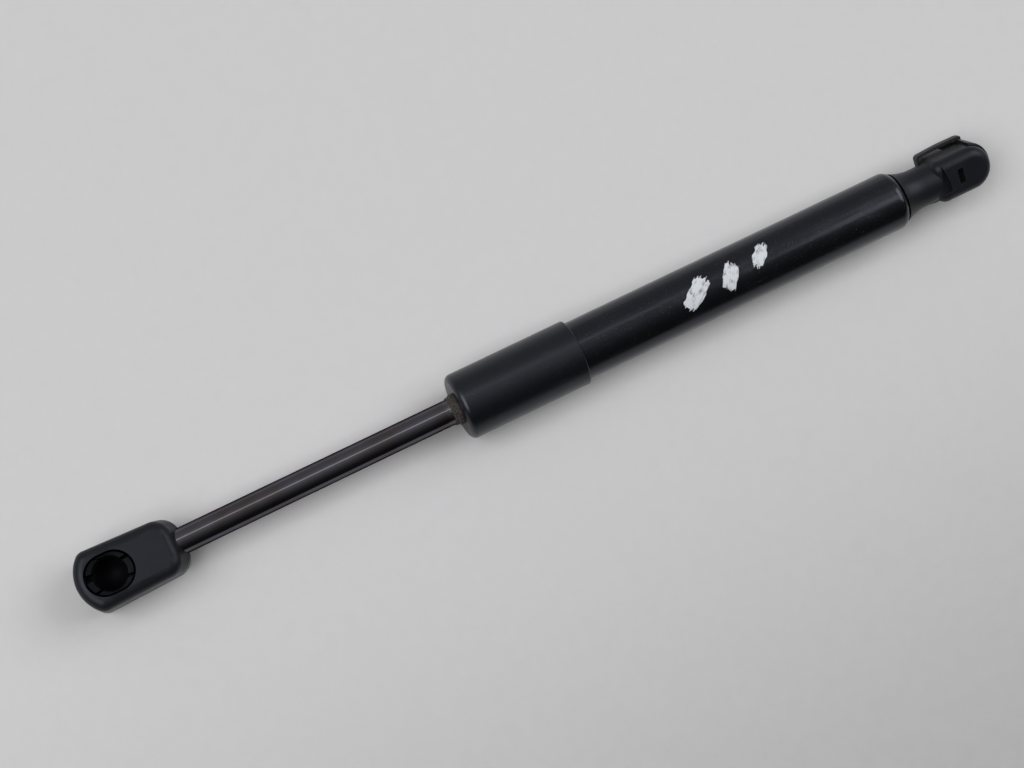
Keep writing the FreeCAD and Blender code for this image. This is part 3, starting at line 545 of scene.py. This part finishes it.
def ring_polymer():
    """Filled slide plastic of the piston ring."""
    finish = Finish("ring_polymer", (0.7, 0.69, 0.64), 0.4)
    fill = finish.noise(0.0004, 3.0)
    finish.colour(finish.mix(fill, (0.62, 0.61, 0.57), (0.76, 0.75, 0.7)))
    finish.bump(fill, 0.000005)
    return finish.material


# Painted shade: the table's colour grows darker in front of the strut, standing in for light that falls off
# toward
# the front: where that starts and ends along Y, in metres, and how bright the table is painted behind and in
# front, as shares of its colour
PAINTED_SHADE_START = 0.0
PAINTED_SHADE_END = -0.22
PAINTED_BRIGHTNESS_BEHIND = 1.01
PAINTED_SHADE_IN_FRONT = 0.67


def floor_surface():
    """Pale grey table top with a hardly visible mottle, and painted shade that darkens it in front of the
    strut.
    """
    finish = Finish("floor_surface", bpy.context.scene.strut_stage.floor_colour, 0.7, specular=0.25)
    mottle = finish.noise(0.004, 5.0, roughness=0.6)
    # Painted shade: the table is painted darker toward the front, in place of light that falls off there
    front = finish.grade(finish.axis("Y"), PAINTED_SHADE_START, PAINTED_SHADE_END)
    front.node.interpolation_type = "SMOOTHSTEP"
    plain = finish.mix(front, lighter(finish.base, PAINTED_BRIGHTNESS_BEHIND), lighter(finish.base, PAINTED_SHADE_IN_FRONT))
    finish.colour(finish.mix(finish.times(mottle, 0.08), plain, (1.0, 1.0, 1.0)))
    finish.bump(finish.noise(0.0006, 2.0), 0.00001)
    return finish.material


def dress(finish_maker, *nodes):
    """Give CAD nodes a finish, in place of the plain colour they come with."""
    material = finish_maker()
    for name in nodes:
        for slot in frame["nodes"][name].material_slots:
            slot.link = "OBJECT"
            slot.material = material


# The pieces


# How wide their rounded edges are
WIPER_ROUNDING = 0.18 * MM
CUP_ROUNDING = 0.2 * MM
CLIP_ROUNDING = 0.18 * MM


class STRUT_OT_wiper_ring(bpy.types.Operator):
    """Make the wiper ring: a two-step nose and a flange behind the sleeve's end"""

    bl_idname = "strut.wiper_ring"
    bl_label = "Wiper Ring"

    def execute(self, context):
        size = sizes()
        total = WIPER_BOX[1].x - WIPER_BOX[0].x
        flange = WIPER_BOX[1].z
        foot = total - size.wiper_flange
        profile = [
            (size.rod_hole, 0.0),
            (size.wiper_lip, 0.0),
            (size.wiper_lip, size.wiper_lip_length),
            (size.wiper_body, size.wiper_lip_length),
            (size.wiper_body, foot),
            (flange, foot),
            (flange, total),
            (size.rod_hole, total),
        ]
        bm = bmesh.new()
        spin_ring(bm, profile)
        turn(bm, bm.verts, math.pi / 2, "Y")
        bmesh.ops.translate(bm, verts=bm.verts, vec=(WIPER_BOX[0].x, 0, 0))
        ring = new_piece("wiper_ring", bm, wiper_rubber())
        round_edges(ring, WIPER_ROUNDING)
        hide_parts("rod_wiper")
        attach(ring, "tube")
        return {"FINISHED"}


# The gaps between the cup's five claws: the angle of each, in degrees from +X towards +Y, and its width in mm
CLAW_GAPS = ((28.0, 1.1), (101.0, 0.6), (168.0, 2.2), (222.0, 0.9), (327.0, 1.1))

# How far under its crest a claw begins to round off, on its inside and its outside
CLAW_INSIDE_DROP = 0.3 * MM
CLAW_OUTSIDE_DROP = 0.35 * MM

# A point this little inside the radius of the crest still counts as outside it
CREST_SLACK = 0.01 * MM

# Steps in the seat under the shelf and in a claw's share of it, and degrees in one step along a claw
SEAT_STEPS = 20
CLAW_SEAT_STEPS = 10
CLAW_STEP = 4


def cup_foot(bm, shelf):
    """Make the cup's foot, whose seat starts at the angle of its shelf."""
    size = sizes()
    bottom = CUP_BOX[0].z
    radius = (CUP_BOX[1].y - CUP_BOX[0].y) / 2
    foot = [(0, bottom), (radius, bottom), (radius, -size.claw_shelf)]
    foot += arc(size.ball_seat, shelf, -90, SEAT_STEPS)
    foot[-1] = (0, -size.ball_seat)
    spin_solid(bm, foot)


def cup_claws(bm, shelf, crest):
    """Make the cup's claws, which stand on its shelf and are highest at the radius of their crest."""
    size = sizes()
    top = CUP_BOX[1].z
    throat = math.degrees(math.acos(size.throat / size.ball_seat))
    claw = arc(size.ball_seat, shelf, throat, CLAW_SEAT_STEPS)
    claw += [
        (size.throat, size.throat_end),
        (size.claw_mouth, top - CLAW_INSIDE_DROP),
        (crest, top),
        (size.claw_outside, top - CLAW_OUTSIDE_DROP),
        (size.claw_outside, -size.claw_shelf),
    ]
    for (angle, width), (next_angle, next_width) in zip(CLAW_GAPS, CLAW_GAPS[1:] + CLAW_GAPS[:1]):
        start = angle + math.degrees(width * MM / 2 / crest)
        end = (next_angle - math.degrees(next_width * MM / 2 / crest) - start) % 360 + start
        spin_sector(bm, claw, start, end, steps=round((end - start) / CLAW_STEP))


def stretch_cup(bm, crest):
    """Draw the outer halves of a round cup apart along the strut, which makes it oval."""
    for vert in bm.verts:
        outside = math.hypot(vert.co.x, vert.co.y) > crest - CREST_SLACK
        if outside and abs(vert.co.x) > WELD:
            vert.co.x += math.copysign(sizes().cup_stretch, vert.co.x)


class STRUT_OT_ball_cup(bpy.types.Operator):
    """Make the ball cup: an oval foot with a round seat, and five claws with rounded tips"""

    bl_idname = "strut.ball_cup"
    bl_label = "Ball Cup"

    def execute(self, context):
        size = sizes()
        shelf = -math.degrees(math.asin(size.claw_shelf / size.ball_seat))
        crest = (size.claw_mouth + size.claw_outside) / 2
        bm = bmesh.new()
        cup_foot(bm, shelf)
        cup_claws(bm, shelf, crest)
        stretch_cup(bm, crest)
        bmesh.ops.translate(bm, verts=bm.verts, vec=(ROD_BALL_X, 0, 0))
        cup = new_piece("ball_cup", bm, cup_plastic())
        round_edges(cup, CUP_ROUNDING)
        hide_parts("rod_end_ball_cup")
        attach(cup, "rod")
        return {"FINISHED"}


# Steps along a leg of the clip and round its corner
LEG_STEPS = 16
CORNER_STEPS = 8


def bend_strip(bm):
    """Bend half of the clip's strip, from its leg's tip round its corner, and give the edges at its end."""
    size = sizes()
    high = -size.clip_level
    low = high - size.clip_height
    bow, leg_end = CLIP_BOX[0].x, CLIP_BOX[1].x
    leg_crest = -size.clip_crest
    inner = size.clip_leg
    outer = inner + size.clip_thickness
    leg_centre = size.clip_reach - inner
    corner_x = bow + size.clip_corner
    lean = math.asin((leg_crest - corner_x) / (outer - size.clip_corner))
    corner_y = leg_centre + (outer - size.clip_corner) * math.cos(lean)
    start = math.asin((leg_end - leg_crest) / inner)

    verts, edges = profile_loop(bm, [(inner, low), (outer, low), (outer, high), (inner, high)])
    turn(bm, verts, math.pi / 2 - start, "Z")
    bmesh.ops.translate(bm, verts=verts, vec=(leg_crest, leg_centre, 0))
    bmesh.ops.edgeloop_fill(bm, edges=edges)
    leg = spin(bm, verts + edges, start + lean, LEG_STEPS, centre=(leg_crest, leg_centre, 0))
    corner = spin(
        bm, leg["geom_last"], math.pi / 2 - lean, CORNER_STEPS, centre=(corner_x, corner_y, 0)
    )
    bmesh.ops.translate(bm, verts=verts, vec=(0, -size.clip_tip, 0))
    return edges_at_end(corner)


def complete_clip(bm, end):
    """Draw the half strip's end to the middle, add the other half, and roll the clip with its head."""
    across = bmesh.ops.extrude_edge_only(bm, edges=end)
    for item in across["geom"]:
        if isinstance(item, bmesh.types.BMVert):
            item.co.y = 0.0
    half = bm.verts[:] + bm.edges[:] + bm.faces[:]
    bmesh.ops.mirror(bm, geom=half, axis="Y", merge_dist=WELD)
    bmesh.ops.remove_doubles(bm, verts=bm.verts, dist=WELD)
    turn(bm, bm.verts, math.radians(HEAD_ROLL), "X")


class STRUT_OT_spring_clip(bpy.types.Operator):
    """Make the spring clip: a strip bent twice, with two slightly bowed legs"""

    bl_idname = "strut.spring_clip"
    bl_label = "Spring Clip"

    def execute(self, context):
        bm = bmesh.new()
        end = bend_strip(bm)
        complete_clip(bm, end)
        clip = new_piece("spring_clip", bm, clip_steel())
        round_edges(clip, CLIP_ROUNDING)
        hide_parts("tube_end_clip")
        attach(clip, "clip")
        return {"FINISHED"}


# The dabs of paint: the middle of each along the strut in mm, its angle round the tube from the top towards
# +Y, its length and width in mm, and how far its stroke slants, in degrees
PAINT_DABS = (
    (-98.6, -4.0, 12.5, 6.4, 38.0),
    (-86.8, -3.0, 10.0, 5.6, 62.0),
    (-75.6, 10.0, 9.0, 4.6, 47.0),
)

# How many squares a dab is cut from, along and across its stroke
DAB_SQUARES = (84, 36)

# The outline of a dab, where 1 is its half length or half width: how much of that the paint fills, how far
# its edge wanders, where along the stroke the brush runs dry, and how strongly the paint frays from there on
DAB_FILL = 0.75
EDGE_WANDER = 0.45
DRY_START = 0.25
DRY_FRAY = 1.5

# How often the wander and the fray vary along and across a dab, and how much they differ from dab to dab
WANDER_WAVES = (2.2, 1.6, 7.0)
FRAY_WAVES = (1.2, 8.0, 3.0)


def dab_noise(along, across, number, waves):
    """Noise that varies over a dab as often as its waves say, and that differs from dab to dab."""
    return noise.noise(Vector((along * waves[0], across * waves[1], number * waves[2])))


def is_bare(place, number):
    """Whether the brush left a point bare: outside a rounded stroke whose edge wanders and frays."""
    along, across = place.x * 2, place.y * 2
    wander = EDGE_WANDER * dab_noise(along, across, number, WANDER_WAVES)
    dry = max(0.0, abs(along) - DRY_START)
    fray = DRY_FRAY * dry * dab_noise(along, across, number, FRAY_WAVES)
    return abs(along) ** 3 + abs(across) ** 2.4 > DAB_FILL + wander + fray


def brush_dab(bm, number):
    """Make a flat ragged dab in a square of one metre, with the stroke as its UV map."""
    bmesh.ops.create_grid(bm, x_segments=DAB_SQUARES[0], y_segments=DAB_SQUARES[1], size=0.5)
    uv = bm.loops.layers.uv.new("stroke")
    for face in bm.faces:
        for loop in face.loops:
            loop[uv].uv = (loop.vert.co.x + 0.5 + number, loop.vert.co.y + 0.5)
    bare = [vert for vert in bm.verts if is_bare(vert.co, number)]
    bmesh.ops.delete(bm, geom=bare, context="VERTS")
    bmesh.ops.smooth_vert(
        bm, verts=[vert for vert in bm.verts if vert.is_boundary], factor=0.5,
        use_axis_x=True, use_axis_y=True, use_axis_z=True,
    )


def wrap_on_tube(bm, middle, around):
    """Bend a flat dab round the tube, at a place along it in mm and an angle from its top in degrees."""
    radius = TUBE_BOX[1].z
    for vert in bm.verts:
        angle = vert.co.y / radius + math.radians(around)
        vert.co = (vert.co.x + middle * MM, radius * math.sin(angle), radius * math.cos(angle))


class STRUT_OT_paint_dabs(bpy.types.Operator):
    """Brush three short ragged dabs of white paint across the tube"""

    bl_idname = "strut.paint_dabs"
    bl_label = "Paint Dabs"

    def execute(self, context):
        material = brushed_paint()
        for number, (middle, around, long, wide, slant) in enumerate(PAINT_DABS, start=1):
            bm = bmesh.new()
            brush_dab(bm, number)
            bmesh.ops.scale(bm, verts=bm.verts, vec=(long * MM, wide * MM, 1.0))
            turn(bm, bm.verts, math.radians(slant), "Z")
            wrap_on_tube(bm, middle, around)
            dab = new_piece(f"paint_dab_{number}", bm, material)
            skin = dab.modifiers.new("thickness", "SOLIDIFY")
            skin.thickness = sizes().mark_thickness
            skin.offset = 1.0
            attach(dab, "tube")
        return {"FINISHED"}


class STRUT_OT_outer_finishes(bpy.types.Operator):
    """Give the pieces that show their finishes"""

    bl_idname = "strut.outer_finishes"
    bl_label = "Outer Finishes"

    def execute(self, context):
        dress(gloss_paint, "pressure_tube")
        dress(sleeve_plastic, "dust_sleeve")
        dress(socket_plastic, "rod_end_socket", "tube_end_socket")
        dress(cup_plastic, "rod_end_ball_cup")
        dress(wiper_rubber, "rod_wiper")
        dress(polished_rod, "piston_rod")
        dress(clip_steel, "tube_end_clip")
        return {"FINISHED"}


class STRUT_OT_inner_finishes(bpy.types.Operator):
    """Give the pieces inside the tube their finishes"""

    bl_idname = "strut.inner_finishes"
    bl_label = "Inner Finishes"

    def execute(self, context):
        dress(
            turned_steel,
            "end_plug", "tube_end_stud", "seal_washer", "piston_washer", "orifice_disc", "rivet_washer",
        )
        dress(seal_rubber, "plug_o_ring", "guide_o_ring", "rod_seal", "stop_bumper")
        dress(guide_polymer, "rod_guide")
        dress(bush_bronze, "guide_bush")
        dress(sintered_iron, "piston")
        dress(ring_polymer, "piston_ring")
        return {"FINISHED"}


# The stage


# The photograph's camera: its place in metres, its turn in degrees, and the width of its sensor in mm
CAMERA_PLACE = (-0.25727, -0.05302, 0.54191)
CAMERA_TURN = (9.466, -6.717, -26.687)
SENSOR_WIDTH = 36.0

# How wide the floor is, and how far under the strut it lies, in metres
FLOOR_SIZE = 6.0
FLOOR_GAP = 0.00002

# The soft lamps: the place of each, its width and height in metres, and how bright its face is, where 1 is
# white
LAMPS = {
    "ceiling_strip": ((-0.05, 0.74, 2.0), 1.1, 0.3, 1.1),
    "right_strip": ((0.87, -0.12, 2.0), 0.64, 0.3, 1.8),
    "left_softbox": ((-1.5, 0.14, 2.0), 2.0, 1.6, 3.5),
    "right_softbox": ((1.5, 0.1, 1.5), 1.6, 1.3, 2.6),
}

# The middle of the strut, which the lamps point at
STRUT_MIDDLE = (-0.145, 0, 0)


def add_lamp(name, place, width, height, brightness):
    """Add a rectangular lamp that points at the strut."""
    lamp = bpy.data.lights.new(name, "AREA")
    lamp.shape = "RECTANGLE"
    lamp.size = width
    lamp.size_y = height
    lamp.energy = brightness * math.pi * width * height
    light = bpy.data.objects.new(name, lamp)
    light.location = place
    light.rotation_euler = (Vector(STRUT_MIDDLE) - Vector(place)).to_track_quat("-Z", "Y").to_euler()
    bpy.context.scene.collection.objects.link(light)


# How bright the room is, as pairs of an angle in degrees and a level. The angle runs from the low side in
# front of the strut, at -90, over the ceiling to the low side behind it, at 90.
ROOM_LIGHT = (
    (-90, 0.03), (-65, 0.03), (-48, 0.06), (-32, 0.13), (-17, 0.22), (-2, 0.36),
    (12, 0.50), (30, 0.50), (45, 0.38), (62, 0.33), (90, 0.36),
)


def make_sky(strength):
    """A plain room: dark in front of the strut, and softly lit above and behind it."""
    world = bpy.data.worlds.new("room")
    world.use_nodes = True
    nodes = world.node_tree.nodes
    links = world.node_tree.links
    direction = nodes.new("ShaderNodeTexCoord")
    parts = nodes.new("ShaderNodeSeparateXYZ")
    links.new(direction.outputs["Generated"], parts.inputs["Vector"])
    angle = nodes.new("ShaderNodeMath")
    angle.operation = "ARCTAN2"
    links.new(parts.outputs["Y"], angle.inputs[0])
    links.new(parts.outputs["Z"], angle.inputs[1])
    along = nodes.new("ShaderNodeMapRange")
    along.inputs["From Min"].default_value = -math.pi / 2
    along.inputs["From Max"].default_value = math.pi / 2
    links.new(angle.outputs["Value"], along.inputs["Value"])
    ramp = nodes.new("ShaderNodeValToRGB")
    ramp.color_ramp.interpolation = "EASE"
    stops = ramp.color_ramp.elements
    while len(stops) < len(ROOM_LIGHT):
        stops.new(0.5)
    for stop, (degrees, level) in zip(stops, ROOM_LIGHT):
        stop.position = (degrees + 90) / 180
        stop.color = (level, level, level, 1.0)
    links.new(along.outputs["Result"], ramp.inputs["Fac"])
    links.new(ramp.outputs["Color"], nodes["Background"].inputs["Color"])
    nodes["Background"].inputs["Strength"].default_value = strength
    bpy.context.scene.world = world


class STRUT_OT_stage(bpy.types.Operator):
    """Set the floor, the light and the camera"""

    bl_idname = "strut.stage"
    bl_label = "Stage"

    def execute(self, context):
        look = context.scene.strut_stage
        bm = bmesh.new()
        bmesh.ops.create_grid(bm, x_segments=1, y_segments=1, size=FLOOR_SIZE / 2)
        bmesh.ops.translate(bm, verts=bm.verts, vec=(0, 0, cad_box[0].z - FLOOR_GAP))
        floor = new_piece("floor", bm, floor_surface(), smooth=False)

        make_sky(look.sky)
        for name, (place, width, height, brightness) in LAMPS.items():
            add_lamp(name, place, width, height, brightness * look.lamps)

        lens = bpy.data.cameras.new("photo_camera")
        lens.lens = look.lens
        lens.sensor_width = SENSOR_WIDTH
        camera = bpy.data.objects.new("photo_camera", lens)
        camera.location = CAMERA_PLACE
        camera.rotation_euler = Euler([math.radians(angle) for angle in CAMERA_TURN])
        context.scene.collection.objects.link(camera)
        context.scene.camera = camera
        context.scene.view_settings.view_transform = "Standard"
        return {"FINISHED"}


class STRUT_PT_panel(bpy.types.Panel):
    """Lists the strut's pieces, finishes and stage"""

    bl_idname = "STRUT_PT_panel"
    bl_label = "Gas Strut"
    bl_space_type = "VIEW_3D"
    bl_region_type = "UI"
    bl_category = "Gas Strut"

    def draw(self, context):
        for operator in OPERATORS:
            self.layout.operator(operator.bl_idname)
        for group in (context.scene.strut_sizes, context.scene.strut_finishes, context.scene.strut_stage):
            box = self.layout.box()
            for name in group.__annotations__:
                box.prop(group, name)


GROUPS = {"strut_sizes": StrutSizes, "strut_finishes": StrutFinishes, "strut_stage": StrutStage}
OPERATORS = (
    STRUT_OT_wiper_ring, STRUT_OT_ball_cup, STRUT_OT_spring_clip, STRUT_OT_paint_dabs,
    STRUT_OT_outer_finishes, STRUT_OT_inner_finishes, STRUT_OT_stage,
)


def register():
    for item in (*GROUPS.values(), *OPERATORS, STRUT_PT_panel):
        bpy.utils.register_class(item)
    for name, group in GROUPS.items():
        setattr(bpy.types.Scene, name, PointerProperty(type=group))


def unregister():
    for name in GROUPS:
        delattr(bpy.types.Scene, name)
    for item in reversed((*GROUPS.values(), *OPERATORS, STRUT_PT_panel)):
        bpy.utils.unregister_class(item)


def main():
    register()
    for operator in OPERATORS:
        group, name = operator.bl_idname.split(".")
        getattr(getattr(bpy.ops, group), name)()


if __name__ == "__main__":
    main()
